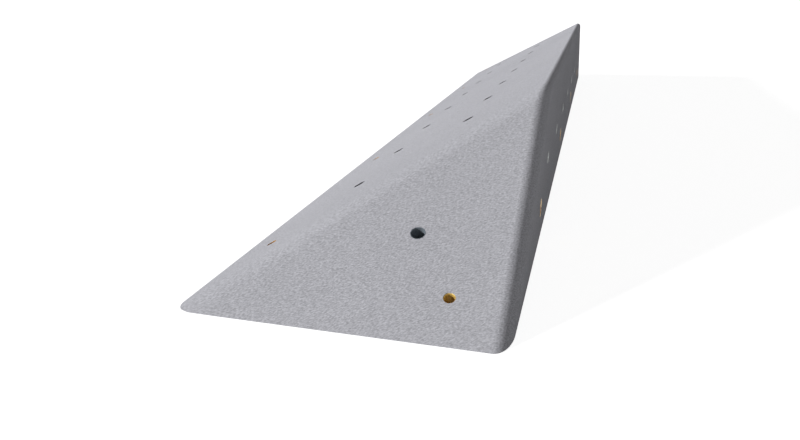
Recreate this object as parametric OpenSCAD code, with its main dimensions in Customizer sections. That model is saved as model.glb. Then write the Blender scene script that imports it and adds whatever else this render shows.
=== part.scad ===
// Rail climbing hold: a long wedge-shaped volume that screws to a climbing wall.
// Hollow moulded skin, open at the back, stiffened and backed with plywood inside.
// The wall plane is z = 0, the length runs along Y and the ridge stands over the right edge.

/* [Body] */
// Width of the footprint on the wall
base_w = 250; // [240:5:300]
// Length of the footprint on the wall
base_l = 1400; // [1360:20:1600]
// Slope of the upper face and of both end faces, in degrees from the wall
slope = 30; // [28:1:33]
// Thickness of the moulded skin
skin = 5; // [4:0.5:7]
// Distance from the sharp ridge at which its rounding starts
ridge_setback = 9; // [8:0.5:14]
// Distance from the sharp hips at the ends at which their rounding starts
hip_setback = 12.5; // [8:0.5:14]

/* [Insert rows] */
// Slope distance from the left base edge to the lower row of inserts
lower_row_s = 90; // [86:1:100]
// Number of inserts in the lower row
lower_row_n = 8; // [2:2:8]
// Spacing of the lower row
lower_row_pitch = 141; // [120:1:144]
// Slope distance from the left base edge to the upper row of inserts
upper_row_s = 192; // [180:1:200]
// Number of inserts in the upper row
upper_row_n = 7; // [3:2:7]
// Spacing of the upper row
upper_row_pitch = 135; // [120:1:144]
// Height above the wall of the row on the upright face
right_row_z = 65; // [62:1:75]
// Number of inserts in the row on the upright face
right_row_n = 7; // [3:2:7]
// Spacing of the row on the upright face
right_row_pitch = 140; // [120:1:144]
// Slope distance from the end's base edge to the insert in each end face
end_insert_s = 96; // [90:1:105]
// Distance of the end faces' insert from the upright face
end_insert_x = 83.3; // [75:0.1:95]

/* [Insert] */
// Outer diameter of the insert's barrel, which shows at the face
barrel_d = 12; // [11:0.1:14]
// Diameter of the plain lead-in inside the barrel
lead_d = 11; // [10.4:0.1:11.4]
// Depth of the lead-in from the face
lead_depth = 16; // [12:0.5:18]
// Inside diameter of the M10 thread
thread_d = 8.5; // [8:0.1:9]
// Diameter of the flange behind the board
flange_d = 38; // [34:1:44]
// Thickness of the flange
flange_t = 2.5; // [2:0.1:4]
// Length of the barrel's tail behind the flange
tail_len = 2.5; // [1:0.5:5]
// Number of fixing screws in each flange
fix_n = 3; // [3:1:4]
// Diameter of the circle that the fixing screws stand on
fix_pcd = 28; // [24:1:30]
// Shank diameter of a fixing screw
fix_d = 3.5; // [3:0.1:4]
// Head diameter of a fixing screw
fix_head_d = 7; // [6:0.1:7.6]
// Head height of a fixing screw
fix_head_h = 1.8; // [1.4:0.1:2.4]
// Length of a fixing screw under its head
fix_len = 13; // [10:0.5:15]

/* [Wall screws] */
// Slope distance from the base edge to the wall-screw holes in the sloped faces
screw_s = 40; // [38:1:44]
// Number of wall-screw holes in the left face
left_screw_n = 5; // [3:2:5]
// Spacing of the wall-screw holes in the left face
left_screw_pitch = 300; // [260:5:304]
// Height of the wall-screw holes in the upright face
right_screw_z = 33.5; // [30:0.5:36]
// Number of wall-screw holes in the upright face
right_screw_n = 4; // [2:2:4]
// Spacing of the wall-screw holes in the upright face
right_screw_pitch = 323; // [280:1:340]
// Tilt from the wall's normal of the holes in the upright face, in degrees
right_screw_tilt = 30; // [28:1:34]
// Distance of the end faces' wall-screw hole from its rail's end beside the upright face's rail
end_screw_x = 11; // [9:0.5:20]
// Outer diameter of the screw sleeve, which shows at the face
sleeve_d = 9; // [8:0.1:10]
// Wall thickness of the screw sleeve
sleeve_wall = 0.4; // [0.3:0.1:0.6]
// Depth of the screw head's seat below a sloped face
seat_depth = 14; // [12:0.5:15]
// Depth of the seat along the tilted holes of the upright face
right_seat_depth = 26; // [24:0.5:27]
// Thickness of the seat
seat_t = 2; // [1.5:0.1:3]
// Hole in the seat for the screw's shank
shank_d = 5.5; // [4.5:0.1:6]
// Hole through the rail under the seat
rail_hole_d = 6.4; // [6:0.1:7]

/* [Backing] */
// Thickness of the plywood boards that back the insert rows
board_t = 15; // [12:0.5:16]
// Width of board kept on each side of an insert row
board_edge = 28; // [24:1:30]
// Length of board kept past the last insert of a row
board_end = 40; // [30:1:50]
// Width of the boards in the end faces
end_board_w = 70; // [60:1:76]
// Height of board kept above the insert in the end faces
end_board_up = 35; // [28:1:38]
// Width kept between the wall screws' axis and the edge of the sloped base rails
rail_half = 20; // [14:1:20]
// Thickness at which the sharp toe of a sloped base rail is cut off
rail_toe = 3; // [2:0.5:5]
// Width of the upright face's base rail
right_rail_w = 32; // [28:1:40]
// Wood kept above the sleeves in the upright face's base rail
right_rail_cover = 3.2; // [2:0.1:5]

/* [Ribs] */
// Thickness of a rib
rib_t = 12; // [9:1:15]
// Spacing of the four inner ribs
rib_pitch = 210; // [200:1:212]
// Distance of the two end ribs from mid-length
end_rib_y = 456; // [452:1:460]
// Gap between the ribs and the wall
rib_lift = 2; // [1:0.5:6]
// Width at which a rib's tip is cut off under the ridge
rib_tip = 10; // [6:1:16]

/* [Fits] */
// Radial gap between a barrel, sleeve or screw and its hole
hole_gap = 0.1; // [0.05:0.05:0.2]
// Gap between the ends of neighbouring rails
rail_gap = 0.2; // [0.1:0.1:1]
// Gap between the skin's inner rounding at the hips and the ends of boards, rails and ribs
end_gap = 0.5; // [0.5:0.5:4]
// Room kept in a rib around an insert's flange
flange_room = 2; // [1:0.5:4]

/* [Hidden] */
$fn = 48;

sin_a = sin(slope);
cos_a = cos(slope);
tan_a = tan(slope);

// Outward normals of the faces
n_left = [-sin_a, 0, cos_a];
n_right = [1, 0, 0];
n_near = [0, -sin_a, cos_a];

// Radius that starts at the setback on an edge where the surface turns by an angle
function edge_r(setback, turn) = setback / tan(turn / 2);
function turn_of(a, b) = acos(a * b);
left_hip_turn = turn_of(n_left, n_near);
ridge_r = edge_r(ridge_setback, turn_of(n_left, n_right));
left_hip_r = edge_r(hip_setback, left_hip_turn);
right_hip_r = edge_r(hip_setback, turn_of(n_right, n_near));
// Smallest radius on the inside of the skin
inner_r_min = 1;
// Distance under the end faces at which the inner roundings are past, on the upright and on the left face
right_hip_clear = max(right_hip_r - skin, inner_r_min);
left_hip_clear = max(left_hip_r - skin, inner_r_min) * (1 - cos(left_hip_turn));
end_clear = end_gap + max(right_hip_clear, left_hip_clear);
// Steps in each rounding
round_steps = 12;
// How far the roundings' centre lines run on below the wall, so that the cut there is clean
below = 2 * left_hip_r;

// Depth of the flange's front and back and of the tail's end, from the face
flange_front = skin + board_t;
flange_back = flange_front + flange_t;
tail_end = flange_back + tail_len;

// Edges of the boards and rails, as slope distances and heights
rail_s = screw_s + rail_half;
toe_s = (skin + rail_toe) / tan_a;
lower_board_s = lower_row_s + board_edge;
right_rail_h = right_screw_z - skin / tan(right_screw_tilt)
    + (sleeve_d / 2 + hole_gap) / sin(right_screw_tilt) + right_rail_cover;
right_in = base_w / 2 - skin;
rail_foot_x = rail_s / cos_a - base_w / 2;
end_rail_x = right_in - right_rail_w - rail_gap;
insert_x = base_w / 2 - end_insert_x;
screw_x = end_rail_x - end_screw_x;
// How far a cut runs past what it cuts
past = 1;

function row(n, pitch) = [for (i = [0 : n - 1]) (i - (n - 1) / 2) * pitch];
lower_ys = row(lower_row_n, lower_row_pitch);
upper_ys = row(upper_row_n, upper_row_pitch);
right_ys = row(right_row_n, right_row_pitch);
left_screw_ys = row(left_screw_n, left_screw_pitch);
right_screw_ys = row(right_screw_n, right_screw_pitch);
rib_ys = [-end_rib_y, -1.5 * rib_pitch, -rib_pitch / 2, rib_pitch / 2, 1.5 * rib_pitch, end_rib_y];

// Places children on a face, with Z along its outward normal
module on_left(s, y) translate([s * cos_a - base_w / 2, y, s * sin_a]) rotate([0, -slope, 0]) children();
module on_near(x, s) translate([x, s * cos_a - base_l / 2, s * sin_a]) rotate([slope, 0, 0]) children();
module on_right(y, z) translate([base_w / 2, y, z]) rotate([0, 90, 0]) children();
module on_right_screw(y) translate([base_w / 2, y, right_screw_z])
    rotate([0, right_screw_tilt, 0]) children();
module far_side() mirror([0, 1, 0]) children();

// Runs a section along Y or X. Its first axis is the distance from the base edge and its second is height
module along_y(length) translate([-base_w / 2, length / 2, 0]) rotate([90, 0, 0]) linear_extrude(length)
    children();
module along_x(x0, x1) translate([x0, -base_l / 2, 0]) rotate([90, 0, 90]) linear_extrude(x1 - x0)
    children();

// Point of a section at a slope distance and a depth under a sloped face
function under(s, d) = [s * cos_a + d * sin_a, s * sin_a - d * cos_a];
module band(s0, s1, d0, d1) polygon([under(s0, d0), under(s1, d0), under(s1, d1), under(s0, d1)]);
// Wedge between the skin and the wall
module wedge() polygon([under(toe_s, skin), under(rail_s, skin), under(rail_s, rail_s * tan_a),
    under(toe_s, toe_s * tan_a)]);

// Keeps what lies clear of both end faces
module within_ends() {
    foot = (skin + end_clear) / sin_a;
    top = base_w * tan_a;
    intersection() {
        children();
        along_x(-base_w, base_w) polygon([[foot, 0], [base_l - foot, 0],
            [base_l - foot - base_w, top], [foot + base_w, top]]);
    }
}

// Keeps what lies clear of the left face and of the upright face's rail
module within_sides() {
    foot = (skin + left_hip_clear + end_gap) / sin_a;
    wall_u = end_rail_x + base_w / 2;
    intersection() {
        children();
        along_y(base_l) polygon([[foot, 0], [wall_u, 0], [wall_u, (wall_u - foot) * tan_a]]);
    }
}

// Points of one rounded edge: arcs around both ends of its centre line, from one normal to the other
function arc_points(centre, r, a, b) = [
    for (i = [0 : round_steps])
        let (turn = turn_of(a, b), t = i / round_steps)
            centre + r * (sin((1 - t) * turn) * a + sin(t * turn) * b) / sin(turn)
];
// Where a ball of a radius touches both faces at the top corner, and at the foot of each hip
function apex(e) = [base_w / 2 - e, base_w - e - base_l / 2, ((base_w - e) * sin_a - e) / cos_a];
function left_foot(e) = let (q = (e - below * cos_a) / sin_a) [q - base_w / 2, q - base_l / 2, -below];
function right_foot(e) = [base_w / 2 - e, (e - below * cos_a) / sin_a - base_l / 2, -below];
function near_points(depth, radii) = concat(
    arc_points(apex(depth + radii[0]), radii[0], n_left, n_right),
    arc_points(apex(depth + radii[1]), radii[1], n_left, n_near),
    arc_points(left_foot(depth + radii[1]), radii[1], n_left, n_near),
    arc_points(apex(depth + radii[2]), radii[2], n_near, n_right),
    arc_points(right_foot(depth + radii[2]), radii[2], n_near, n_right)
);
// The rounded body, at a depth under the faces
module rounded_body(depth) {
    radii = [for (r = [ridge_r, left_hip_r, right_hip_r]) max(r - depth, inner_r_min)];
    near = near_points(depth, radii);
    points = concat(near, [for (p = near) [p.x, -p.y, p.z]]);
    hull() polyhedron(points, [for (i = [0 : len(points) - 3]) [i, i + 1, i + 2]]);
}

// Cuts for what passes through the skin and the wood
module barrel_hole() translate([0, 0, -flange_front - past]) cylinder(d = barrel_d + 2 * hole_gap,
    h = flange_front + 2 * past);
module around_flange() for (i = [0 : fix_n - 1])
    rotate(i * 360 / fix_n) translate([fix_pcd / 2, 0, 0]) children();
module fixing_holes() around_flange() translate([0, 0, -flange_front - past])
    cylinder(d = fix_d + 2 * hole_gap, h = fix_len - flange_t + past + hole_gap);
module sleeve_hole(depth) {
    translate([0, 0, -depth - seat_t])
        cylinder(d = sleeve_d + 2 * hole_gap, h = depth + seat_t + 2 * sleeve_d);
    translate([0, 0, -base_w / 2]) cylinder(d = rail_hole_d, h = base_w / 2);
}

module shell() color([0.71, 0.71, 0.73]) difference() {
    rounded_body(0);
    rounded_body(skin);
    translate([-base_w, -base_l, -2 * below]) cube([2 * base_w, 2 * base_l, 2 * below]);
    for (y = lower_ys) on_left(lower_row_s, y) barrel_hole();
    for (y = upper_ys) on_left(upper_row_s, y) barrel_hole();
    for (y = right_ys) on_right(y, right_row_z) barrel_hole();
    for (y = left_screw_ys) on_left(screw_s, y) sleeve_hole(seat_depth);
    for (y = right_screw_ys) on_right_screw(y) sleeve_hole(right_seat_depth);
    on_near(insert_x, end_insert_s) barrel_hole();
    on_near(screw_x, screw_s) sleeve_hole(seat_depth);
    far_side() on_near(insert_x, end_insert_s) barrel_hole();
    far_side() on_near(screw_x, screw_s) sleeve_hole(seat_depth);
}

module left_board(s0, s1, row_s, ys) color("burlywood") within_ends() difference() {
    along_y(ys[len(ys) - 1] - ys[0] + 2 * board_end) band(s0, s1, skin, flange_front);
    for (y = ys) on_left(row_s, y) {
        barrel_hole();
        fixing_holes();
    }
}
module left_lower_board() left_board(rail_s, lower_board_s, lower_row_s, lower_ys);
module left_upper_board()
    left_board(upper_row_s - board_edge, upper_row_s + board_edge, upper_row_s, upper_ys);

module right_board() color("burlywood") within_ends() difference() {
    length = right_ys[len(right_ys) - 1] - right_ys[0] + 2 * board_end;
    translate([right_in - board_t, -length / 2, right_rail_h])
        cube([board_t, length, right_row_z + board_edge - right_rail_h]);
    for (y = right_ys) on_right(y, right_row_z) {
        barrel_hole();
        fixing_holes();
    }
}

module near_board() color("burlywood") within_sides() difference() {
    along_x(insert_x - end_board_w / 2, insert_x + end_board_w / 2)
        band(rail_s + rail_gap, end_insert_s + end_board_up, skin, flange_front);
    on_near(insert_x, end_insert_s) {
        barrel_hole();
        fixing_holes();
    }
}
module far_board() far_side() near_board();

module left_base_rail() color("tan") within_ends() difference() {
    along_y(base_l) wedge();
    for (y = left_screw_ys) on_left(screw_s, y) sleeve_hole(seat_depth);
}

module right_base_rail() color("tan") within_ends() difference() {
    translate([right_in - right_rail_w, -base_l / 2, 0]) cube([right_rail_w, base_l, right_rail_h]);
    for (y = right_screw_ys) on_right_screw(y) sleeve_hole(right_seat_depth);
}

module near_base_rail() color("tan") difference() {
    along_x(rail_foot_x + rail_gap, end_rail_x) wedge();
    on_near(screw_x, screw_s) sleeve_hole(seat_depth);
}
module far_base_rail() far_side() near_base_rail();

// Section of the hollow that a rib fills, cut away where the boards and rails lie
module rib_section() difference() {
    foot_u = (skin + rib_lift * cos_a) / sin_a;
    wall_u = base_w - skin;
    tip_u = wall_u - rib_tip;
    tip_z = (tip_u * sin_a - skin) / cos_a;
    polygon([[foot_u, rib_lift], [wall_u, rib_lift], [wall_u, tip_z], [tip_u, tip_z]]);
    band(-skin, rail_s, -skin, base_w);
    band(rail_s, lower_board_s, 0, flange_front);
    band(upper_row_s - board_edge, upper_row_s + board_edge, 0, flange_front);
    translate([wall_u - right_rail_w, 0]) square([base_w, right_rail_h]);
    translate([wall_u - board_t, right_rail_h]) square([base_w, right_row_z + board_edge - right_rail_h]);
}
// Room around the flanges that come near a rib
module flange_cut() translate([0, 0, -tail_end - flange_room])
    cylinder(d = flange_d + 2 * flange_room, h = tail_end + flange_room);
function near_rib(ys, rib_y) = [for (y = ys) if (abs(y - rib_y) < (rib_t + flange_d) / 2 + flange_room) y];
module rib(y) color("wheat") within_ends() difference() {
    translate([0, y, 0]) along_y(rib_t) rib_section();
    for (v = near_rib(lower_ys, y)) on_left(lower_row_s, v) flange_cut();
    for (v = near_rib(upper_ys, y)) on_left(upper_row_s, v) flange_cut();
    for (v = near_rib(right_ys, y)) on_right(v, right_row_z) flange_cut();
}

// Flanged insert: its barrel runs from the face through skin and board, its flange lies behind the board
module insert() color([0.26, 0.28, 0.3]) difference() {
    union() {
        translate([0, 0, -tail_end]) cylinder(d = barrel_d, h = tail_end);
        translate([0, 0, -flange_back]) cylinder(d = flange_d, h = flange_t);
    }
    translate([0, 0, -lead_depth]) cylinder(d = lead_d, h = lead_depth + past);
    translate([0, 0, -tail_end - past]) cylinder(d = thread_d, h = tail_end + past);
    around_flange() translate([0, 0, -flange_back - past])
        cylinder(d = fix_d + 2 * hole_gap, h = flange_t + 2 * past);
}
module left_lower_inserts() for (y = lower_ys) on_left(lower_row_s, y) insert();
module left_upper_inserts() for (y = upper_ys) on_left(upper_row_s, y) insert();
module right_inserts() for (y = right_ys) on_right(y, right_row_z) insert();
module near_insert() on_near(insert_x, end_insert_s) insert();
module far_insert() far_side() near_insert();

// Screws that hold a flange to its board
module fixing_screws() color("silver") around_flange() translate([0, 0, -flange_back]) {
    translate([0, 0, -fix_head_h]) cylinder(d = fix_head_d, h = fix_head_h);
    cylinder(d = fix_d, h = fix_len);
}
module left_lower_insert_screws() for (y = lower_ys) on_left(lower_row_s, y) fixing_screws();
module left_upper_insert_screws() for (y = upper_ys) on_left(upper_row_s, y) fixing_screws();
module right_insert_screws() for (y = right_ys) on_right(y, right_row_z) fixing_screws();
module near_insert_screws() on_near(insert_x, end_insert_s) fixing_screws();
module far_insert_screws() far_side() near_insert_screws();

// Sleeve that lines a wall-screw hole and carries the screw's head on a seat
module sleeve(depth, over) color([0.81, 0.61, 0.27]) difference() {
    translate([0, 0, -depth - seat_t]) cylinder(d = sleeve_d, h = depth + seat_t + over);
    translate([0, 0, -depth]) cylinder(d = sleeve_d - 2 * sleeve_wall, h = depth + over + past);
    translate([0, 0, -depth - seat_t - past]) cylinder(d = shank_d, h = seat_t + 2 * past);
}
module left_screw_sleeves() for (y = left_screw_ys) on_left(screw_s, y) sleeve(seat_depth, 0);
module near_screw_sleeve() on_near(screw_x, screw_s) sleeve(seat_depth, 0);
module far_screw_sleeve() far_side() near_screw_sleeve();
module right_screw_sleeves() difference() {
    for (y = right_screw_ys) on_right_screw(y) sleeve(right_seat_depth, 2 * sleeve_d);
    translate([base_w / 2, -base_l, 0]) cube([base_w, 2 * base_l, base_w]);
}

shell();
left_lower_board();
left_upper_board();
right_board();
near_board();
far_board();
left_base_rail();
right_base_rail();
near_base_rail();
far_base_rail();
rib(rib_ys[0]);  // rib_near_end
rib(rib_ys[1]);  // rib_near
rib(rib_ys[2]);  // rib_near_middle
rib(rib_ys[3]);  // rib_far_middle
rib(rib_ys[4]);  // rib_far
rib(rib_ys[5]);  // rib_far_end
left_lower_inserts();
left_upper_inserts();
right_inserts();
near_insert();
far_insert();
left_lower_insert_screws();
left_upper_insert_screws();
right_insert_screws();
near_insert_screws();
far_insert_screws();
left_screw_sleeves();
right_screw_sleeves();
near_screw_sleeve();
far_screw_sleeve();
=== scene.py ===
import math

import bmesh
import bpy
import numpy as np
from mathutils import Matrix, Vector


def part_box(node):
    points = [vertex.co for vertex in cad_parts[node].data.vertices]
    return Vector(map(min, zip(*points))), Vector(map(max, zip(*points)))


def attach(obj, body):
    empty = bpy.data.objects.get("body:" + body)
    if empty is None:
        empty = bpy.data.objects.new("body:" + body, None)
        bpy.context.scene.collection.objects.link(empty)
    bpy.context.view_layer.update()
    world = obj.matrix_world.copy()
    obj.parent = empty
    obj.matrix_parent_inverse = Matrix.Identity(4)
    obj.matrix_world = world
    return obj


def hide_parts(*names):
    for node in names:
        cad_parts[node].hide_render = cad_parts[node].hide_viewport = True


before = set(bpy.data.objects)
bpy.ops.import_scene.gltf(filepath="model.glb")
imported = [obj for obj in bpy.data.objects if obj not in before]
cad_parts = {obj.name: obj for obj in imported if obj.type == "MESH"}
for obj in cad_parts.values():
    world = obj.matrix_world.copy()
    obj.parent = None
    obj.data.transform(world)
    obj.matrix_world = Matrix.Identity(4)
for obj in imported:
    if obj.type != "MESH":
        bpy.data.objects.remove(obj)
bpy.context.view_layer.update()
print("frame loaded:", len(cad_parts), "nodes")

mm = 0.001
white = (1, 1, 1, 1)
shellLow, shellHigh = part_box("shell")

# The wedge: its footprint comes from the frame, the rest repeats the part's own sizes (mm, degrees)
wedge = {
    "width": (shellHigh.x - shellLow.x) / mm,
    "length": (shellHigh.y - shellLow.y) / mm,
    "slope": 30,
    "skin": 5,
    "ridgeSetback": 9,       # distance from the sharp ridge at which its rounding starts
    "hipSetback": 12.5,      # the same at the hips of both ends
    "footSetback": 0.12,     # the acute edges on the wall are left almost sharp
    "uprightFoot": 1.2,      # the upright face's lower edge is broken this much more
    "innerRadius": 1,        # least rounding inside the skin
    "flattest": 0.98,        # greatest cosine between two faces' normals that the rounding works with
    "least": 1e-9,           # keeps a division from zero
}
slopeAngle = math.radians(wedge["slope"])
sinA, cosA, tanA = math.sin(slopeAngle), math.cos(slopeAngle), math.tan(slopeAngle)

# Outward normals of the faces; the far end mirrors the near one
leftNormal = np.array([-sinA, 0, cosA])
rightNormal = np.array([1.0, 0, 0])
nearNormal = np.array([0, -sinA, cosA])
footNormal = np.array([0, 0, -1.0])

# Rows of holes: count, pitch along Y, distance from the base edge along the face (mm)
rows = {
    "leftLower": {"count": 8, "pitch": 141, "up": 90},
    "leftUpper": {"count": 7, "pitch": 135, "up": 192},
    "right": {"count": 7, "pitch": 140, "up": 65},
    "leftScrews": {"count": 5, "pitch": 300, "up": 40},
    "rightScrews": {"count": 4, "pitch": 323, "up": 33.5},
    "end": {"insertX": 41.7, "insertUp": 96, "screwX": 76.8, "screwUp": 40},
    "rightTilt": 30,         # degrees between the lower right holes and the wall's normal
}


def unit(v):
    return v / np.linalg.norm(v, axis=-1, keepdims=True)


def dot(a, b):
    return np.sum(a * b, axis=-1)


def frameOn(origin, normal):   # 4 x 4 place with Z along the normal and X square to the length
    z = unit(np.asarray(normal, float))
    x = unit(np.cross([0, 1.0, 0], z))
    place = np.eye(4)
    place[:3, :3] = np.column_stack([x, np.cross(z, x), z])
    place[:3, 3] = origin
    return place


def rowPlaces(row):            # a row's places along Y, spread evenly about the middle of the length
    return [(i - (row["count"] - 1) / 2) * row["pitch"] for i in range(row["count"])]


def leftPlaces(row):
    x, z = row["up"] * cosA - wedge["width"] / 2, row["up"] * sinA
    return [frameOn([x, y, z], leftNormal) for y in rowPlaces(row)]


def rightPlaces(row, normal):
    return [frameOn([wedge["width"] / 2, y, row["up"]], normal) for y in rowPlaces(row)]


def endPlace(x, up, side):     # side is -1 at the near end and 1 at the far end
    y = side * (wedge["length"] / 2 - up * cosA)
    return frameOn([x, y, up * sinA], nearNormal * [1, -side, 1])


tilt = math.radians(rows["rightTilt"])
tiltNormal = np.array([math.sin(tilt), 0, math.cos(tilt)])
end = rows["end"]
places = {
    "left_lower_inserts": leftPlaces(rows["leftLower"]),
    "left_upper_inserts": leftPlaces(rows["leftUpper"]),
    "right_inserts": rightPlaces(rows["right"], rightNormal),
    "near_insert": [endPlace(end["insertX"], end["insertUp"], -1)],
    "far_insert": [endPlace(end["insertX"], end["insertUp"], 1)],
    "left_screw_sleeves": leftPlaces(rows["leftScrews"]),
    "right_screw_sleeves": rightPlaces(rows["rightScrews"], tiltNormal),
    "near_screw_sleeve": [endPlace(end["screwX"], end["screwUp"], -1)],
    "far_screw_sleeve": [endPlace(end["screwX"], end["screwUp"], 1)],
}


# Joins the distances to two faces with an arc that touches both a setback away from their sharp edge.
# Within the arc's sector the distance is that to the arc's centre line, less the radius.
def roundPair(a, aNormal, b, bNormal, setback, depth, least):
    c = np.clip(dot(aNormal, bNormal), -wedge["flattest"], wedge["flattest"])
    radius = np.maximum(setback / np.tan(np.arccos(c) / 2) - depth, least)
    liftA, liftB = a + radius, b + radius
    inArc = (liftA > c * liftB) & (liftB > c * liftA)
    k = 1 / (1 - c * c)
    v = ((liftA - c * liftB) * k)[..., None] * aNormal + ((liftB - c * liftA) * k)[..., None] * bNormal
    away = np.maximum(np.linalg.norm(v, axis=-1), wedge["least"])
    value = np.where(inArc, away - radius, np.maximum(a, b))
    flat = np.where((a > b)[..., None], aNormal, bNormal)
    return value, np.where(inArc[..., None], v / away[..., None], flat)


# Distance of points to the rounded wedge at a depth under its faces, and the outward normal there.
# Each face gives its plane distance. They are joined in turn: left with end, then with upright, then with foot.
def bodyDistance(p, depth, withFoot):
    flip = np.ones_like(p)
    flip[..., 1] = np.where(p[..., 1] > 0, -1.0, 1.0)      # the far half is worked out as the near one
    q = p * flip
    left = -sinA * (q[..., 0] + wedge["width"] / 2) + cosA * q[..., 2] + depth
    near = -sinA * (q[..., 1] + wedge["length"] / 2) + cosA * q[..., 2] + depth
    right = q[..., 0] - wedge["width"] / 2 + depth
    value, normal = roundPair(left, leftNormal, near, nearNormal, wedge["hipSetback"], depth,
                              wedge["innerRadius"])
    share = np.clip(normal[..., 1] / -sinA, 0, 1)          # 0 on the left face, 1 on the end face
    setback = wedge["ridgeSetback"] + share * (wedge["hipSetback"] - wedge["ridgeSetback"])
    value, normal = roundPair(value, normal, right, rightNormal, setback, depth, wedge["innerRadius"])
    if withFoot:
        setback = wedge["footSetback"] + wedge["uprightFoot"] * np.clip(normal[..., 0], 0, 1) ** 2
        value, normal = roundPair(value, normal, -q[..., 2], footNormal, setback, 0, 0)
    return value, normal * flip


# Grid lines on the faces (mm): close together over the rounded edges and far apart between them
lines = {
    "foot": np.array([0, 0.1, 0.3, 0.6, 0.9, 1.2, 1.6, 3.0]),
    "crest": np.arange(0, 18.25, 0.5),
    "wide": np.array([20, 22.5, 25.5, 29, 33, 38, 44, 51, 59, 68, 78, 90]),
    "few": 3,                # of the wide steps, those that the left face and the hips use
    "leftMiddle": (14, 30, 9),     # first line from the foot, last line from the top, and how many
    "rightMiddle": (12, 100, 3),
    "along": 25,             # lines from a hip to the middle of the length
    "inwards": 10,           # how far a point may slide in to find the rounded surface
    "halvings": 40,
    "onSurface": 1e-7,       # closer than this to the surface is on it
}


# Grid of points on one sharp face of the near half at a depth: rows run up the face, columns along it.
# The end face is a fan from its left foot corner: a share of the way to a point between right foot and top.
def sharpGrid(depth, kind, table):
    x0, y0 = depth / sinA - wedge["width"] / 2, depth / sinA - wedge["length"] / 2
    x1 = wedge["width"] / 2 - depth
    run = x1 - x0
    if kind == "near":
        u, v = table["left"][:, None, None], table["right"][None, :, None]
        a, b, c = np.array([x0, y0, 0]), np.array([x1, y0, 0]), np.array([x1, y0 + run, run * tanA])
        return a + u * ((1 - v) * (b - a) + v * (c - a))
    share = table[kind]
    back = share * run                                   # how far the hip has run along Y at this height
    fine, coarse = table["fine"], table["coarse"]
    hip = y0 + back[:, None]
    y = np.concatenate([hip + fine[None, :], (hip + fine[-1]) * (1 - coarse[None, 1:])], axis=1)
    x = np.broadcast_to((x0 + back if kind == "left" else np.full_like(back, x1))[:, None], y.shape)
    z = np.broadcast_to((back * tanA)[:, None], y.shape)
    return np.stack([x, y, z], axis=-1)


def gridFaces(rowCount, columnCount):  # quads between neighbouring points of a grid, counted row by row
    i = np.arange(rowCount - 1)[:, None] * columnCount + np.arange(columnCount - 1)[None, :]
    return np.stack([i, i + 1, i + columnCount + 1, i + columnCount], axis=-1).reshape(-1, 4)


def facing(points, faces, wanted):     # the faces, turned round if they look away from the wanted normals
    corner = points[faces]
    turn = np.cross(corner[:, 2] - corner[:, 0], corner[:, 3] - corner[:, 1])
    return faces[:, ::-1] if np.sum(dot(turn, wanted)) < 0 else faces


# The rounded wedge at a depth: each point of the sharp faces slides in towards a smaller wedge until it meets
# the rounded surface. Gives the patches of the near half, each as a grid and faces that point outwards.
def wedgeSkin(depth, withFoot):
    span, high = wedge["width"] / cosA, wedge["width"] * tanA
    foot, crest, wide = lines["foot"], lines["crest"], lines["wide"]
    few = wide[:lines["few"]]
    middle = {kind: np.linspace(first, top - last, count) for kind, top, (first, last, count) in (
        ("left", span, lines["leftMiddle"]), ("right", high, lines["rightMiddle"]))}
    table = {
        "left": np.concatenate([foot, middle["left"], span - few[::-1], span - crest[::-1]]) / span,
        "right": np.concatenate([foot, middle["right"], high - wide[::-1], high - crest[::-1]]) / high,
        "fine": np.concatenate([crest, few]),
        "coarse": np.linspace(0, 1, lines["along"]),
    }
    patches = []
    for kind in ("left", "right", "near"):
        start, goal = sharpGrid(depth, kind, table), sharpGrid(depth + lines["inwards"], kind, table)
        low, far = np.zeros(start.shape[:2]), np.ones(start.shape[:2])
        for _ in range(lines["halvings"]):
            half = (low + far) / 2
            tried = start + half[..., None] * (goal - start)
            outside = bodyDistance(tried, depth, withFoot)[0] > lines["onSurface"]
            low, far = np.where(outside, half, low), np.where(outside, far, half)
        onFace = bodyDistance(start, depth, withFoot)[0] <= lines["onSurface"]
        grid = start + np.where(onFace, 0, far)[..., None] * (goal - start)
        normal = bodyDistance(grid, depth, withFoot)[1].reshape(-1, 3)
        faces = gridFaces(*grid.shape[:2])
        patches.append((grid, facing(grid.reshape(-1, 3), faces, normal[faces].mean(axis=1))))
    return patches


# One mesh from patches of (points, faces, material slot) in mm: each patch's faces count on from the last one's
def meshFrom(name, patches):
    starts = np.cumsum([0] + [len(points) for points, _, _ in patches])
    points = np.concatenate([points for points, _, _ in patches])
    faces = np.concatenate([faces + start for (_, faces, _), start in zip(patches, starts)])
    slots = np.concatenate([np.full(len(faces), slot, dtype=np.int32) for _, faces, slot in patches])
    mesh = bpy.data.meshes.new(name)
    mesh.from_pydata((points * mm).tolist(), [], faces.tolist())
    mesh.polygons.foreach_set("material_index", slots)
    mesh.polygons.foreach_set("use_smooth", np.full(len(faces), True))
    mesh.update()
    piece = bpy.data.objects.new(name, mesh)
    bpy.context.scene.collection.objects.link(piece)
    mergeDoubles(piece)
    return piece


def mergeDoubles(piece, distance=1e-6):
    work = bmesh.new()
    work.from_mesh(piece.data)
    bmesh.ops.remove_doubles(work, verts=work.verts, dist=distance)
    bmesh.ops.dissolve_degenerate(work, edges=work.edges, dist=distance / 10)
    work.to_mesh(piece.data)
    work.free()


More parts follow.
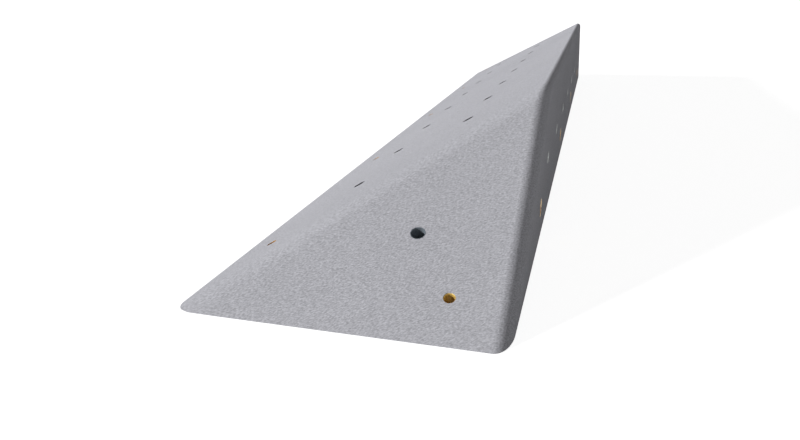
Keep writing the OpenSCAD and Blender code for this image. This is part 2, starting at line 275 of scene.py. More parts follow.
def makeShell():               # slot 0 is the painted outside, slot 1 the bare laminate
    patches, rims = [], {}
    for slot, depth, withFoot in ((0, 0, True), (1, wedge["skin"], False)):
        for k, (grid, faces) in enumerate(wedgeSkin(depth, withFoot)):
            rims[slot, k] = grid[0] if k < 2 else grid[:, 0]           # the points that lie on the wall plane
            patches.append((grid.reshape(-1, 3), faces if slot == 0 else faces[:, ::-1], slot))
    for k in range(3):                                                 # the narrow strip on the wall
        strip = np.concatenate([rims[0, k], rims[1, k]])
        patches.append((strip, facing(strip, gridFaces(2, len(rims[0, k])), footNormal), 1))
    return meshFrom("moulded_shell", [(points * [1, side, 1], faces[:, ::side], slot)
                                      for points, faces, slot in patches for side in (1, -1)])


# Turned pieces: a profile of (radius, height) carried once round the axis, x = r cos a, y = r sin a.
# The profile may change with the angle, as a thread does. Gives one piece's points and faces.
def turned(radius, height, closed):
    rowCount, columnCount = radius.shape
    a = 2 * np.pi * np.arange(columnCount)[None, :] / columnCount
    points = np.stack([radius * np.cos(a), radius * np.sin(a), height], axis=-1).reshape(-1, 3)
    i = np.arange(rowCount if closed else rowCount - 1)[:, None] * columnCount
    up = (i + columnCount) % (rowCount * columnCount)
    j = np.arange(columnCount)[None, :]
    k = (j + 1) % columnCount
    faces = np.stack([i + j, i + k, up + k, up + j], axis=-1).reshape(-1, 4)
    p, q, r, s = points[faces].transpose(1, 0, 2)
    volume = np.sum(dot(p, np.cross(q, r)) + dot(p, np.cross(r, s)))
    return points, faces if volume > 0 else faces[:, ::-1]             # so the faces point outwards


# The same profile all the way round
def roundProfile(profile, sides):
    profile = np.array(profile, float)
    return np.repeat(profile[:, :1], sides, axis=1), np.repeat(profile[:, 1:], sides, axis=1)


# Copies of one piece, each carried to its place by a 4 x 4 matrix
def carried(points, faces, spots):
    spots = np.array(spots)
    every = np.einsum("kij,nj->kni", spots[:, :3, :3], points) + spots[:, None, :3, 3]
    index = faces[None] + (np.arange(len(spots)) * len(points))[:, None, None]
    return every.reshape(-1, 3), index.reshape(-1, 4)


sharpFrom = {"shell": 30, "turned": 35}     # degrees between two faces from which their edge shows as sharp


def repeated(name, points, faces, spots):
    piece = meshFrom(name, [(*carried(points, faces, spots), 0)])
    piece.data.set_sharp_from_angle(angle=math.radians(sharpFrom["turned"]))
    return piece


# The holes in the skin: diameters, and how far the cutting bars reach to both sides of the face (mm)
holes = {"barrel": 12.2, "sleeve": 9.2, "reach": 14, "slantReach": 24, "sides": 96}


# Straight round bars, one through each hole: a line beside the axis, turned round it and closed at both ends
def makeCutters():
    bars = []
    for node, spots in places.items():
        radius = (holes["sleeve"] if "sleeve" in node else holes["barrel"]) / 2
        reach = holes["slantReach"] if node == "right_screw_sleeves" else holes["reach"]
        profile = [(0, -reach), (radius, -reach), (radius, reach), (0, reach)]
        bar = turned(*roundProfile(profile, holes["sides"]), False)
        bars.append((*carried(*bar, spots), 1))
    cutters = meshFrom("hole_cutters", bars)
    for _ in range(2):                     # two empty slots, so that the holes' walls keep slot 1
        cutters.data.materials.append(None)
    return cutters


def applyModifiers(piece):
    depsgraph = bpy.context.evaluated_depsgraph_get()
    done = bpy.data.meshes.new_from_object(piece.evaluated_get(depsgraph))
    old = piece.data
    piece.modifiers.clear()
    piece.data = done
    bpy.data.meshes.remove(old)


shell = makeShell()
cutters = makeCutters()
cut = shell.modifiers.new("holes", "BOOLEAN")
cut.operation, cut.solver, cut.object = "DIFFERENCE", "EXACT", cutters
applyModifiers(shell)
bpy.data.meshes.remove(cutters.data)
shell.data.set_sharp_from_angle(angle=math.radians(sharpFrom["shell"]))
print("shell:", len(shell.data.polygons), "faces after the holes")


# Adds a node with its settings; links feed its inputs from a socket or set them to a value
def add(tree, kind, links=None, **settings):
    node = tree.nodes.new(kind)
    for name, value in settings.items():
        setattr(node, name, value)
    for key, value in (links or {}).items():
        if isinstance(value, bpy.types.NodeSocket):
            tree.links.new(value, node.inputs[key])
        else:
            node.inputs[key].default_value = value
    return node


def linear(code):              # sRGB hex to linear colour
    parts = [int(code[i:i + 2], 16) / 255 for i in (1, 3, 5)]
    return [c / 12.92 if c <= 0.04045 else ((c + 0.055) / 1.055) ** 2.4 for c in parts] + [1]


def perMetre(size):            # how many times a pattern of a size in mm repeats in a metre
    return 1 / (size * mm)


def newMaterial(name, shader):
    material = bpy.data.materials.new(name)
    material.use_nodes = True
    tree = material.node_tree
    principled = tree.nodes["Principled BSDF"]
    for key, value in shader.items():
        principled.inputs[key].default_value = value
    position = add(tree, "ShaderNodeTexCoord").outputs["Object"]
    return material, tree, principled, position


# Textured two-part paint on the moulded skin: dull light grey, a grain like coarse paper that only raking light
# brings out, and hardly any gloss.
# The grain's hollows are painted darker and its tops lighter as painted shade and highlight, and the end faces
# carry a painted shade.
# Sizes and heights are in mm, and each spread is the two noise values between which one look turns into the
# other.
paint = {
    "colour": "#BFBFC5",
    "worn": "#BABAC0",
    "shader": {"Roughness": 0.9, "IOR": 1.5, "Specular IOR Level": 0.06},
    "cloud": 160,            # size of the clouds of worn paint
    "cloudSpread": (0.35, 0.65),
    "endFrom": (0.43, 0.495),      # how far along Y a face has to look to start and to count as an end face
    "endShade": 0.96,        # painted shade: the end faces' colour is darkened to this share; their grain is also coarser
    "grain": 0.85,           # width of the soft bumps
    "run": (0.82, 0.50, 0.28),     # the way in which the bumps are long
    "stretch": 0.4,          # their width as a share of their length
    "grainHeight": 0.32,
    "sideGrain": 0.6,        # share of that height on the long faces, which are painted finer
    "paintedGrainShading": 0.25,            # painted shade and highlight on the grain: its hollows are painted darker and its tops lighter, by this share
    "pitSpread": (0.3, 0.7),
    "grit": 0.9,             # sand in the paint; the real grains of about 0.3 mm would be finer than a pixel
    "gritHeight": 0.03,
}


def makePaint():
    material, tree, principled, position = newMaterial("texturedPaint", paint["shader"])
    clouds = add(tree, "ShaderNodeTexNoise", {
        "Vector": position, "Scale": perMetre(paint["cloud"]), "Detail": 3.0})
    share = add(tree, "ShaderNodeMapRange", {
        "Value": clouds.outputs["Fac"], "From Min": paint["cloudSpread"][0],
        "From Max": paint["cloudSpread"][1]})
    colour = add(tree, "ShaderNodeMix", {
        "Factor": share.outputs["Result"], "A": linear(paint["colour"]), "B": linear(paint["worn"])},
        data_type="RGBA")
    looks = add(tree, "ShaderNodeSeparateXYZ", {"Vector": add(tree, "ShaderNodeTexCoord").outputs["Normal"]})
    alongY = add(tree, "ShaderNodeMath", {0: looks.outputs["Y"]}, operation="ABSOLUTE")
    onEnd = add(tree, "ShaderNodeMapRange", {
        "Value": alongY.outputs["Value"], "From Min": paint["endFrom"][0], "From Max": paint["endFrom"][1]},
        interpolation_type="SMOOTHSTEP")
    # painted shade: the end faces' colour is scaled down to the endShade share
    shade = add(tree, "ShaderNodeMapRange", {
        "Value": onEnd.outputs["Result"], "To Min": 1.0, "To Max": paint["endShade"]})
    rough = add(tree, "ShaderNodeMapRange", {
        "Value": onEnd.outputs["Result"], "To Min": paint["sideGrain"], "To Max": 1.0})
    along = add(tree, "ShaderNodeVectorMath", {0: position, 1: paint["run"]}, operation="DOT_PRODUCT")
    level = add(tree, "ShaderNodeVectorMath", {
        0: along.outputs["Value"], 1: [(paint["stretch"] - 1) * c for c in paint["run"]], 2: position},
        operation="MULTIPLY_ADD")      # reads the pattern more slowly along the run, so its bumps are long
    grain = add(tree, "ShaderNodeTexNoise", {
        "Vector": level.outputs["Vector"], "Scale": perMetre(paint["grain"]), "Detail": 2.0})
    # painted shade and highlight: the grain noise darkens the colour in the hollows and lightens it on the tops
    paintedGrainShading = add(tree, "ShaderNodeMapRange", {
        "Value": grain.outputs["Fac"], "From Min": paint["pitSpread"][0], "From Max": paint["pitSpread"][1],
        "To Min": 1 - paint["paintedGrainShading"], "To Max": 1 + paint["paintedGrainShading"]})
    tone = add(tree, "ShaderNodeMath", {0: shade.outputs["Result"], 1: paintedGrainShading.outputs["Result"]},
               operation="MULTIPLY")
    shaded = add(tree, "ShaderNodeVectorMath", {0: colour.outputs["Result"], "Scale": tone.outputs["Value"]},
                 operation="SCALE")
    grit = add(tree, "ShaderNodeTexNoise", {
        "Vector": position, "Scale": perMetre(paint["grit"]), "Detail": 1.0})
    low = add(tree, "ShaderNodeBump", {
        "Height": grain.outputs["Fac"], "Distance": paint["grainHeight"] * mm,
        "Strength": rough.outputs["Result"]})
    fine = add(tree, "ShaderNodeBump", {
        "Height": grit.outputs["Fac"], "Distance": paint["gritHeight"] * mm, "Strength": 1.0,
        "Normal": low.outputs["Normal"]})
    tree.links.new(shaded.outputs["Vector"], principled.inputs["Base Color"])
    tree.links.new(fine.outputs["Normal"], principled.inputs["Normal"])
    return material


# Glass-fibre laminate as it leaves an open mould: greenish grey resin over chopped strands that lie every way,
# which gives a matted, half glossy inside (mm)
laminate = {
    "resin": "#8E9186",
    "strand": "#B9BCB0",
    "shader": {"Roughness": 0.45, "IOR": 1.55, "Specular IOR Level": 0.4},
    "strandWidth": 2.2,
    "thin": 0.12,            # a strand's width as a share of its length
    "turns": (0.3, 1.3, 2.4),      # one turn for each of three layers of strands (radians)
    "about": (1, 1.7, 0.6),  # how much of a layer's turn goes about X, Y and Z
    "bend": 30,              # size of the strands' bends
    "bendBy": 20,            # how far they are pushed aside
    "strandSpread": (0.53, 0.68),  # noise values between which resin turns into strand
    "strandHeight": 0.5,
    "relief": 0.8,
}


def makeLaminate():
    material, tree, principled, position = newMaterial("glassLaminate", laminate["shader"])
    bend = add(tree, "ShaderNodeTexNoise", {
        "Vector": position, "Scale": perMetre(laminate["bend"]), "Detail": 1.0})
    bent = add(tree, "ShaderNodeVectorMath", {
        0: bend.outputs["Color"], 1: [laminate["bendBy"] * mm] * 3, 2: position}, operation="MULTIPLY_ADD")
    layers = []
    for turn in laminate["turns"]:
        place = add(tree, "ShaderNodeMapping", {
            "Vector": bent.outputs["Vector"], "Rotation": [turn * c for c in laminate["about"]],
            "Scale": (1, laminate["thin"], 1)})
        layers.append(add(tree, "ShaderNodeTexNoise", {
            "Vector": place.outputs["Vector"], "Scale": perMetre(laminate["strandWidth"]), "Detail": 0.0}))
    first = add(tree, "ShaderNodeMath", {0: layers[0].outputs["Fac"], 1: layers[1].outputs["Fac"]},
                operation="MAXIMUM")
    most = add(tree, "ShaderNodeMath", {0: first.outputs["Value"], 1: layers[2].outputs["Fac"]},
               operation="MAXIMUM")
    share = add(tree, "ShaderNodeMapRange", {
        "Value": most.outputs["Value"], "From Min": laminate["strandSpread"][0],
        "From Max": laminate["strandSpread"][1]})
    colour = add(tree, "ShaderNodeMix", {
        "Factor": share.outputs["Result"], "A": linear(laminate["resin"]), "B": linear(laminate["strand"])},
        data_type="RGBA")
    bump = add(tree, "ShaderNodeBump", {
        "Height": share.outputs["Result"], "Distance": laminate["strandHeight"] * mm,
        "Strength": laminate["relief"]})
    tree.links.new(colour.outputs["Result"], principled.inputs["Base Color"])
    tree.links.new(bump.outputs["Normal"], principled.inputs["Normal"])
    return material


# Birch plywood: thin veneers with their grain crossed, seen as stripes and dark glue lines where a board is
# cut (mm)
plywood = {
    "light": "#DCC093",
    "dark": "#BF9A66",
    "glue": "#6E4A2B",
    "shader": {"Roughness": 0.62, "IOR": 1.5, "Specular IOR Level": 0.3},
    "veneer": 1.5,
    "glueLine": (0.12, 0.03),      # where a glue line starts and is full, in veneers from the joint
    "grain": 0.9,
    "long": 28,              # the grain's length in widths
    "waver": 0.4,
    "grainSpread": (0.3, 0.72),
    "crossShade": 0.3,       # how much darker a veneer with its grain on end looks, as a share
    "poreDepth": 0.08,
    "relief": 0.6,
}


def makePlywood(name, turn):
    material, tree, principled, position = newMaterial(name, plywood["shader"])
    board = add(tree, "ShaderNodeMapping", {"Vector": position, "Rotation": turn})
    parts = add(tree, "ShaderNodeSeparateXYZ", {"Vector": board.outputs["Vector"]})
    layer = add(tree, "ShaderNodeMath", {0: parts.outputs["Z"], 1: perMetre(plywood["veneer"]), 2: 0.5},
                operation="MULTIPLY_ADD")      # the half puts a board's faces in mid veneer, clear of the glue
    cross = add(tree, "ShaderNodeMath", {0: layer.outputs["Value"], 1: 2.0}, operation="PINGPONG")
    odd = add(tree, "ShaderNodeMath", {0: cross.outputs["Value"], 1: 1.0}, operation="GREATER_THAN")
    near = add(tree, "ShaderNodeMath", {0: layer.outputs["Value"], 1: 0.5}, operation="PINGPONG")
    glue = add(tree, "ShaderNodeMapRange", {
        "Value": near.outputs["Value"], "From Min": plywood["glueLine"][0], "From Max": plywood["glueLine"][1]})
    grains = []
    for scale in ((1, 1 / plywood["long"], 1), (1 / plywood["long"], 1, 1)):
        way = add(tree, "ShaderNodeVectorMath", {0: board.outputs["Vector"], 1: scale}, operation="MULTIPLY")
        grains.append(add(tree, "ShaderNodeTexNoise", {
            "Vector": way.outputs["Vector"], "Scale": perMetre(plywood["grain"]), "Detail": 4.0,
            "Distortion": plywood["waver"]}))
    grain = add(tree, "ShaderNodeMix", {
        "Factor": odd.outputs["Value"], "A": grains[0].outputs["Fac"], "B": grains[1].outputs["Fac"]},
        data_type="FLOAT")
    share = add(tree, "ShaderNodeMapRange", {
        "Value": grain.outputs["Result"], "From Min": plywood["grainSpread"][0],
        "From Max": plywood["grainSpread"][1]})
    wood = add(tree, "ShaderNodeMix", {
        "Factor": share.outputs["Result"], "A": linear(plywood["light"]), "B": linear(plywood["dark"])},
        data_type="RGBA")
    darker = add(tree, "ShaderNodeMath", {0: odd.outputs["Value"], 1: plywood["crossShade"]},
                 operation="MULTIPLY")
    crossed = add(tree, "ShaderNodeMix", {
        "Factor": darker.outputs["Value"], "A": wood.outputs["Result"], "B": linear(plywood["dark"])},
        data_type="RGBA")
    glued = add(tree, "ShaderNodeMix", {
        "Factor": glue.outputs["Result"], "A": crossed.outputs["Result"], "B": linear(plywood["glue"])},
        data_type="RGBA")
    bump = add(tree, "ShaderNodeBump", {
        "Height": grain.outputs["Result"], "Distance": plywood["poreDepth"] * mm,
        "Strength": plywood["relief"]})
    tree.links.new(glued.outputs["Result"], principled.inputs["Base Color"])
    tree.links.new(bump.outputs["Normal"], principled.inputs["Normal"])
    return material


# Sawn spruce: pale yellow early wood and narrow brown late wood in rings round a heart beside the rail (mm)
spruce = {
    "early": "#E2C896",
    "late": "#C79A62",
    "shader": {"Roughness": 0.7, "IOR": 1.5, "Specular IOR Level": 0.25},
    "ring": 3.4,
    "ringDrift": 2.2,        # good and bad years shift the rings by up to this many
    "yearsAlike": 18,        # how far it goes on as good or as bad
    "sway": 250,             # length and reach of the trunk's slow bends
    "swayBy": 12,
    "lateWood": (0.35, 0.95),      # where in a ring the late wood starts and is full
    "fibre": 0.6,
    "long": 40,              # the fibres' length in widths
    "fibreShare": 0.5,       # how much the fibres show beside the rings
    "shadeSpread": (0.2, 1.5),
    "fibreHeight": 0.1,
    "relief": 0.5,
}


def makeSpruce(name, turn, heart):
    material, tree, principled, position = newMaterial(name, spruce["shader"])
    log = add(tree, "ShaderNodeMapping", {"Vector": position, "Rotation": turn, "Location": heart})
    wander = add(tree, "ShaderNodeTexNoise", {
        "Vector": log.outputs["Vector"], "Scale": perMetre(spruce["sway"]), "Detail": 1.0})
    bent = add(tree, "ShaderNodeVectorMath", {
        0: wander.outputs["Color"], 1: (spruce["swayBy"] * mm, spruce["swayBy"] * mm, 0),
        2: log.outputs["Vector"]}, operation="MULTIPLY_ADD")
    across = add(tree, "ShaderNodeVectorMath", {0: bent.outputs["Vector"], 1: (1, 1, 0)}, operation="MULTIPLY")
    away = add(tree, "ShaderNodeVectorMath", {0: across.outputs["Vector"]}, operation="LENGTH")
    drift = add(tree, "ShaderNodeTexNoise", {
        "Vector": across.outputs["Vector"], "Scale": perMetre(spruce["yearsAlike"]), "Detail": 1.0})
    shift = add(tree, "ShaderNodeMath", {0: drift.outputs["Fac"], 1: spruce["ringDrift"]}, operation="MULTIPLY")
    rings = add(tree, "ShaderNodeMath", {
        0: away.outputs["Value"], 1: perMetre(spruce["ring"]), 2: shift.outputs["Value"]},
        operation="MULTIPLY_ADD")
    year = add(tree, "ShaderNodeMath", {0: rings.outputs["Value"]}, operation="FRACT")
    late = add(tree, "ShaderNodeMapRange", {
        "Value": year.outputs["Value"], "From Min": spruce["lateWood"][0], "From Max": spruce["lateWood"][1]},
        interpolation_type="SMOOTHSTEP")
    thin = add(tree, "ShaderNodeVectorMath", {0: log.outputs["Vector"], 1: (1, 1, 1 / spruce["long"])},
               operation="MULTIPLY")
    fibre = add(tree, "ShaderNodeTexNoise", {
        "Vector": thin.outputs["Vector"], "Scale": perMetre(spruce["fibre"]), "Detail": 2.0})
    mixed = add(tree, "ShaderNodeMath", {
        0: fibre.outputs["Fac"], 1: spruce["fibreShare"], 2: late.outputs["Result"]}, operation="MULTIPLY_ADD")
    share = add(tree, "ShaderNodeMapRange", {
        "Value": mixed.outputs["Value"], "From Min": spruce["shadeSpread"][0],
        "From Max": spruce["shadeSpread"][1]})
    colour = add(tree, "ShaderNodeMix", {
        "Factor": share.outputs["Result"], "A": linear(spruce["early"]), "B": linear(spruce["late"])},
        data_type="RGBA")
    bump = add(tree, "ShaderNodeBump", {
        "Height": fibre.outputs["Fac"], "Distance": spruce["fibreHeight"] * mm, "Strength": spruce["relief"]})
    tree.links.new(colour.outputs["Result"], principled.inputs["Base Color"])
    tree.links.new(bump.outputs["Normal"], principled.inputs["Normal"])
    return material


# Metals with fine marks from the tool or the bath: colour and roughness drift a little over a few millimetres.
# A mark is 0.4 to 0.8 mm wide; those of the real tools would be finer than a pixel.
metals = {
    # blackened inserts of both ends: a bluish grey bore with a soft light patch where the light strikes it
    "blackenedSteel": {"colour": "#6E767E", "other": "#636A71", "roughness": 0.5, "mark": 0.5,
                       "metallic": 0.35, "specular": 0.5},
    # the left rows' inserts: painted shade, a dull near-black copy of the insert steel, so each mouth is a
    # plain dark mark
    "paintedShadeSteel": {"colour": "#1B1E20", "other": "#15181A", "roughness": 0.8, "mark": 0.5,
                      "metallic": 0, "specular": 0.05},
    # the right row's inserts: a painted highlight, a paler and shinier copy of the insert steel so that their
    # edges catch the light
    "paintedHighlightSteel": {"colour": "#A3A8A4", "other": "#959A96", "roughness": 0.3, "mark": 0.4,
                    "metallic": 0.8, "specular": 0.5},
    # the flange screws: bright, slightly cloudy zinc
    "zincPlatedSteel": {"colour": "#C3C6C9", "other": "#A9ADB0", "roughness": 0.3, "mark": 0.8,
                        "metallic": 1, "specular": 0.5},
    # both ends' sleeves: soft yellow without mirror lights
    "satinBrass": {"colour": "#D8BC70", "other": "#CCAD5C", "roughness": 0.5, "mark": 0.4,
                   "metallic": 0.5, "specular": 0.5},
    # the right row's sleeves: a painted highlight, a light gold copy of the sleeve brass with a clear shine
    "paintedHighlightBrass": {"colour": "#FFDFA0", "other": "#F6CC80", "roughness": 0.2, "mark": 0.4,
                    "metallic": 0.9, "specular": 0.5},
    # the left row's sleeves: painted shade, a darker dull amber copy of the sleeve brass
    "paintedShadeBrass": {"colour": "#AC7A12", "other": "#9E6E0C", "roughness": 0.8, "mark": 0.4,
                  "metallic": 0, "specular": 0.05},
}
wear = {
    "blot": 6,               # size of the blots in which a metal's two colours mix (mm)
    "blotSpread": (0.35, 0.65),
    "smoother": 0.08,        # how far the marks take the roughness down and up
    "rougher": 0.12,
    "markHeight": 0.01,
    "relief": 0.5,
}


def makeMetal(name):
    kind = metals[name]
    material, tree, principled, position = newMaterial(name, {
        "Metallic": kind["metallic"], "Roughness": kind["roughness"], "Specular IOR Level": kind["specular"]})
    marks = add(tree, "ShaderNodeTexNoise", {
        "Vector": position, "Scale": perMetre(kind["mark"]), "Detail": 2.0})
    blots = add(tree, "ShaderNodeTexNoise", {
        "Vector": position, "Scale": perMetre(wear["blot"]), "Detail": 2.0})
    share = add(tree, "ShaderNodeMapRange", {
        "Value": blots.outputs["Fac"], "From Min": wear["blotSpread"][0], "From Max": wear["blotSpread"][1]})
    colour = add(tree, "ShaderNodeMix", {
        "Factor": share.outputs["Result"], "A": linear(kind["colour"]), "B": linear(kind["other"])},
        data_type="RGBA")
    rough = add(tree, "ShaderNodeMapRange", {
        "Value": marks.outputs["Fac"], "To Min": kind["roughness"] - wear["smoother"],
        "To Max": kind["roughness"] + wear["rougher"]})
    bump = add(tree, "ShaderNodeBump", {
        "Height": marks.outputs["Fac"], "Distance": wear["markHeight"] * mm, "Strength": wear["relief"]})
    tree.links.new(colour.outputs["Result"], principled.inputs["Base Color"])
    tree.links.new(rough.outputs["Result"], principled.inputs["Roughness"])
    tree.links.new(bump.outputs["Normal"], principled.inputs["Normal"])
    return material


shell.data.materials.clear()
for material in (makePaint(), makeLaminate()):
    shell.data.materials.append(material)
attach(shell, "root")
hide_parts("shell")


# Flanged insert with its real M10 thread: radii and depths (mm). Heights run outwards from the face, so those
# of the profile are negative.
insert = {
    "barrel": 6, "lead": 5.5, "leadDepth": 16, "tail": 25,
    "flange": 19, "flangeFront": 20, "flangeBack": 22.5,
    "bore": 4.25, "threadDepth": 0.75, "pitch": 1.5, "runOut": 1,
    "sides": 48, "stepsPerTurn": 8,
    "fixings": 3, "fixingRadius": 14,
}


# The outside as a row of (radius, height), then the bore, where a triangle wave winds up the wall: how deep it
# cuts depends on the height in pitches less the share of a turn, and it fades in and out at both ends.
# The small steps beside each size round its corners.
def makeInserts():
    front, back, tail = -insert["flangeFront"], -insert["flangeBack"], -insert["tail"]
    barrel, lead, flange, bore = insert["barrel"], insert["lead"], insert["flange"], insert["bore"]
    outside = np.array([
        (lead, -0.2), (lead + 0.08, -0.04), (barrel - 0.25, 0), (barrel - 0.06, -0.03), (barrel, -0.15),
        (barrel, front), (flange - 0.6, front), (flange - 0.2, front - 0.2), (flange, front - 0.7),
        (flange, back + 0.6), (flange - 0.2, back + 0.15), (flange - 0.6, back), (barrel + 0.6, back),
        (barrel + 0.15, back - 0.2), (barrel, back - 0.7), (barrel, tail + 0.3), (barrel - 0.3, tail),
        (bore + 0.5, tail), (bore, tail + 0.5)])
    low, high = tail + 0.5, -insert["leadDepth"] - 0.2
    winding = np.arange(low, high, insert["pitch"] / insert["stepsPerTurn"])[1:]
    inside = np.array([(bore, high), (bore + 0.2, high + 0.2), (lead - 0.2, high + 0.2), (lead, high + 0.5)])
    thread = np.stack([np.full_like(winding, bore), winding], axis=-1)
    radius, height = roundProfile(np.concatenate([outside, thread, inside]), insert["sides"])
    share = np.arange(insert["sides"])[None, :] / insert["sides"]
    wave = 2 * np.abs((height / insert["pitch"] - share) % 1 - 0.5)
    fade = np.clip(np.minimum(height - low, high - height) / insert["runOut"], 0, 1)
    cut = slice(len(outside), len(outside) + len(thread))
    radius[cut] += (fade * insert["threadDepth"] * wave)[cut]
    points, faces = turned(radius, height, True)
    return {node: repeated(node.replace("insert", "threaded_insert"), points, faces, spots)
            for node, spots in places.items() if "insert" in node}


# Pan-head screws that hold the flanges, with a cross recess: radii and lengths (mm). Heights run from the
# flange into the board, so those of the head are negative.
screw = {
    "headHeight": 1.8, "shank": 1.75, "length": 13, "tip": 2, "sides": 32,
    "crown": 2.4, "crownSteps": 9,     # radius of the crowned top and the rings across it
    "crownDrop": 0.025,      # how much the crown falls off, per square millimetre
    "edge": ((2.9, -1.5), (3.3, -1.1), (3.5, -0.6), (3.5, 0)),     # (radius, height) round the head's edge
    "recess": 0.85, "recessReach": 2.1, "recessHalfWidth": 0.42,
    "recessWall": 1.6,       # how steep the recess's sides are, and its ends
    "recessEnd": 1.5,
    "recessZone": (2.5, -1.5),     # the recess is cut only nearer to the axis and higher up than this
}


# The head's height falls off from the middle; the recess is a cross, deepest in the middle, fading to its tips
def makeInsertScrews():
    shank, length, sides = screw["shank"], screw["length"], screw["sides"]
    ring = np.linspace(0, screw["crown"], screw["crownSteps"])
    crown = np.stack([ring, screw["crownDrop"] * ring ** 2 - screw["headHeight"]], axis=-1)
    shaft = [(shank, 0), (shank, length - screw["tip"]), (0, length)]
    radius, height = roundProfile(np.concatenate([crown, screw["edge"], shaft]), sides)
    a = 2 * np.pi * np.arange(sides)[None, :] / sides
    offAxis = radius * np.minimum(np.abs(np.cos(a)), np.abs(np.sin(a)))
    across = np.clip(screw["recessWall"] - offAxis / screw["recessHalfWidth"], 0, 1)
    outwards = np.clip(screw["recessEnd"] * (1 - radius / screw["recessReach"]), 0, 1)
    onHead = (radius < screw["recessZone"][0]) & (height < screw["recessZone"][1])
    height = height + np.where(onHead, screw["recess"] * across * outwards, 0)
    points, faces = turned(radius, height, False)
    turn = 2 * np.pi * np.arange(insert["fixings"]) / insert["fixings"]
    around = np.tile(np.eye(4), (insert["fixings"], 1, 1))
    around[:, 0, 3] = insert["fixingRadius"] * np.cos(turn)
    around[:, 1, 3] = insert["fixingRadius"] * np.sin(turn)
    around[:, 2, 3] = -insert["flangeBack"]
    made = {}
    for node, spots in places.items():
        if "insert" in node:
            name = node.replace("inserts", "insert") + "_screws"
            made[name] = repeated(name.replace("insert_screws", "flange_screws"), points, faces,
                                  [spot @ fixing for spot in spots for fixing in around])
    return made


# Thin sleeves that line the wall-screw holes and carry the screw's head on a seat: radii and depths (mm)
sleeve = {
    "outer": 4.5, "inner": 4.1, "shank": 2.75, "depth": 14, "slantDepth": 26, "seat": 2, "sides": 64,
    "sunk": 0.5,             # depth of the two end sleeves' mouths under the face, which gives a dark rim
    "rings": (3, 6, 10),     # depths at which the wall has points, so that a slanted mouth's shape can fade
    "fade": 20,              # depth at which the slanted mouth's shape has gone
}


# A tube with a pierced floor. On the slanted holes the mouth follows the upright face: near the mouth each
# point's height gains the height at which the line through it meets the face, and the gain fades with depth.
def makeSleeves():
    outer, inner, shank, sides = sleeve["outer"], sleeve["inner"], sleeve["shank"], sleeve["sides"]
    made = {}
    for node, spots in places.items():
        if "sleeve" not in node:
            continue
        slanted = node == "right_screw_sleeves"
        depth = sleeve["slantDepth"] if slanted else sleeve["depth"]
        floor = -depth - sleeve["seat"]
        rim = -sleeve["sunk"] if node.startswith(("near", "far")) else 0
        wall = [rim - ring for ring in sleeve["rings"]]
        radius, height = roundProfile([
            (inner, rim - 0.25), (inner + 0.1, rim - 0.06), (outer - 0.2, rim), (outer - 0.08, rim - 0.06),
            (outer, rim - 0.3), *((outer, z) for z in wall), (outer, floor + 0.4), (outer - 0.4, floor),
            (shank + 0.3, floor), (shank, floor + 0.3), (shank, -depth - 0.3), (shank + 0.3, -depth),
            (inner - 0.3, -depth), (inner, -depth + 0.3), *((inner, z) for z in wall[::-1])], sides)
        if slanted:
            place = spots[0]
            a = 2 * np.pi * np.arange(sides)[None, :] / sides
            meets = -(radius * (np.cos(a) * place[0, 0] + np.sin(a) * place[0, 1])) / place[0, 2]
            height = height + meets * np.clip(1 + (height + 1) / sleeve["fade"], 0, 1)
        points, faces = turned(radius, height, True)
        made[node] = repeated(node.replace("screw_sleeve", "wall_screw_liner"), points, faces, spots)
    return made


quarter = math.pi / 2
boards = {                     # how each material's layers are turned, and the boards that are made of it
    "plywoodUnderLeftFace": ((0, slopeAngle, 0), ("left_lower_board", "left_upper_board")),
    "plywoodUnderUprightFace": ((0, -quarter, 0), ("right_board",)),
    "plywoodUnderNearEnd": ((-slopeAngle, 0, 0), ("near_board",)),
    "plywoodUnderFarEnd": ((slopeAngle, 0, 0), ("far_board",)),
    "plywoodRibs": ((quarter, 0, 0), ("rib_near_end", "rib_near", "rib_near_middle", "rib_far_middle",
                                      "rib_far", "rib_far_end")),
}
rails = {                      # the same, with the place of the log's heart (m)
    "spruceAlongLength": ((quarter, 0, 0), (0.09, 0.03, 0), ("left_base_rail", "right_base_rail")),
    "spruceAcrossEnds": ((0, quarter, 0), (-0.03, 0.6, 0), ("near_base_rail", "far_base_rail")),
}
fittings = {                   # the record's slot of each metal, and what is made of it
    "blackenedSteel": ("insert_steel", ("near_insert", "far_insert")),
    # the right row's inserts take the paler painted-highlight steel
    "paintedHighlightSteel": ("insert_steel", ("right_inserts",)),
    # the left rows' inserts take the painted-shade near-black steel
    "paintedShadeSteel": ("insert_steel", ("left_lower_inserts", "left_upper_inserts")),
    "zincPlatedSteel": ("screw_steel", ("left_lower_insert_screws", "left_upper_insert_screws",
                                        "right_insert_screws", "near_insert_screws", "far_insert_screws")),
    "satinBrass": ("sleeve_brass", ("near_screw_sleeve", "far_screw_sleeve")),
    # the right row's sleeves take the light gold painted-highlight brass
    "paintedHighlightBrass": ("sleeve_brass", ("right_screw_sleeves",)),
    # the left row's sleeves take the darker painted-shade brass
    "paintedShadeBrass": ("sleeve_brass", ("left_screw_sleeves",)),
}


def dressNodes(nodes, material):
    for name in nodes:
        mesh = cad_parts[name].data
        mesh.materials.clear()
        mesh.materials.append(material)


def dressNew(piece, node, material):
    piece.data.materials.append(material)
    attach(piece, "root")
    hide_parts(node)


for name, (turn, nodes) in boards.items():
    dressNodes(nodes, makePlywood(name, turn))
for name, (turn, heart, nodes) in rails.items():
    dressNodes(nodes, makeSpruce(name, turn, heart))
made = {**makeSleeves(), **makeInserts(), **makeInsertScrews()}
for name, (slot, nodes) in fittings.items():
    metal = makeMetal(name)
    for node in nodes:
        dressNew(made[node], node, metal)
print("materials done:", len(made) + 1, "new pieces")


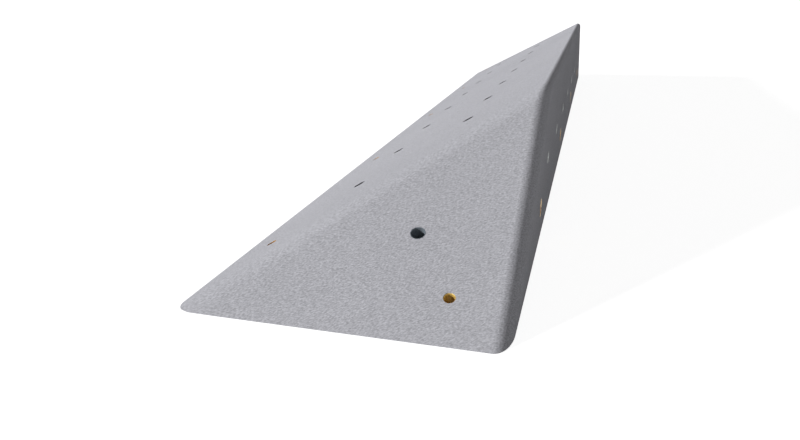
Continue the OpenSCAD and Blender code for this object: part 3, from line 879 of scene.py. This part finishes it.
# Plain pale floor that runs out of view, white to the camera, with the object's soft shadow kept
studio = {
    "floor": 0.8,            # how much light the floor gives back
    "floorLift": 0.84,       # what the camera sees on top of that
    "floorRings": (0, 0.5, 1.5, 4, 12, 40),      # its rings' radii (m)
    "floorSides": 64,
    "floorDrop": 0.2,        # how far it lies under the wall plane, so that the two don't flicker (mm)
    "around": 0.132,         # light from all around
    "key": {"strength": 4.08, "spread": 6, "from": (-0.749, -0.625, 0.22)},      # spread in degrees
    "fill": {"strength": 0.25, "spread": 40, "from": (0.33, -0.85, 0.41)},
}


def whiteRays(tree):           # 1 for rays that the camera sends, straight or by way of metal and glass
    path = add(tree, "ShaderNodeLightPath")
    first = add(tree, "ShaderNodeMath", {0: path.outputs["Is Camera Ray"], 1: path.outputs["Is Glossy Ray"]},
                operation="MAXIMUM")
    most = add(tree, "ShaderNodeMath", {0: first.outputs["Value"], 1: path.outputs["Is Transmission Ray"]},
               operation="MAXIMUM")
    return most.outputs["Value"]


def makeFloor():               # flat rings round the middle; turned() faces them down, so they are turned over
    points, faces = turned(*roundProfile([(ring / mm, -studio["floorDrop"]) for ring in studio["floorRings"]],
                                         studio["floorSides"]), False)
    floor = meshFrom("floor", [(points, faces[:, ::-1], 0)])
    material, tree, principled, _ = newMaterial("paleFloor", {
        "Base Color": [studio["floor"]] * 3 + [1], "Roughness": 1.0, "Specular IOR Level": 0.0,
        "Emission Color": white})
    lift = add(tree, "ShaderNodeMath", {0: whiteRays(tree), 1: studio["floorLift"]}, operation="MULTIPLY")
    tree.links.new(lift.outputs["Value"], principled.inputs["Emission Strength"])
    floor.data.materials.append(material)


def makeLight():
    world = bpy.data.worlds.new("studio")
    bpy.context.scene.world = world
    world.use_nodes = True
    tree = world.node_tree
    strength = add(tree, "ShaderNodeMapRange", {
        "Value": whiteRays(tree), "To Min": studio["around"], "To Max": 1.0})
    background = tree.nodes["Background"]
    background.inputs["Color"].default_value = white
    tree.links.new(strength.outputs["Result"], background.inputs["Strength"])
    for name in ("key", "fill"):
        sun = bpy.data.lights.new(name, "SUN")
        sun.energy, sun.angle = studio[name]["strength"], math.radians(studio[name]["spread"])
        lamp = bpy.data.objects.new(name, sun)
        bpy.context.scene.collection.objects.link(lamp)
        lamp.matrix_world = Matrix(frameOn([0, 0, 0], studio[name]["from"]).tolist())


# The photograph's view: where the camera is (m), which ways are right and up for it, and its lens (mm)
view = {
    "at": (0.1614, -1.1047, 0.2346),
    "right": (0.9643, 0.2649, 0.0),
    "up": (-0.0883, 0.3189, 0.9437),
    "lens": 31.40,
    "sensor": 36,
    "clip": (0.01, 200),     # nearest and furthest thing that it sees (m)
}


def makeCamera():
    data = bpy.data.cameras.new("photoView")
    data.lens, data.sensor_width, data.sensor_fit = view["lens"], view["sensor"], "HORIZONTAL"
    data.clip_start, data.clip_end = view["clip"]
    camera = bpy.data.objects.new("photoView", data)
    bpy.context.scene.collection.objects.link(camera)
    x = unit(np.array(view["right"]))
    z = unit(np.cross(x, view["up"]))
    place = np.eye(4)
    place[:3, :3] = np.column_stack([x, np.cross(z, x), z])
    place[:3, 3] = view["at"]
    camera.matrix_world = Matrix(place.tolist())
    bpy.context.scene.camera = camera


makeFloor()
makeLight()
makeCamera()
bpy.context.scene.view_settings.view_transform = "Standard"
print("floor, light and camera done")
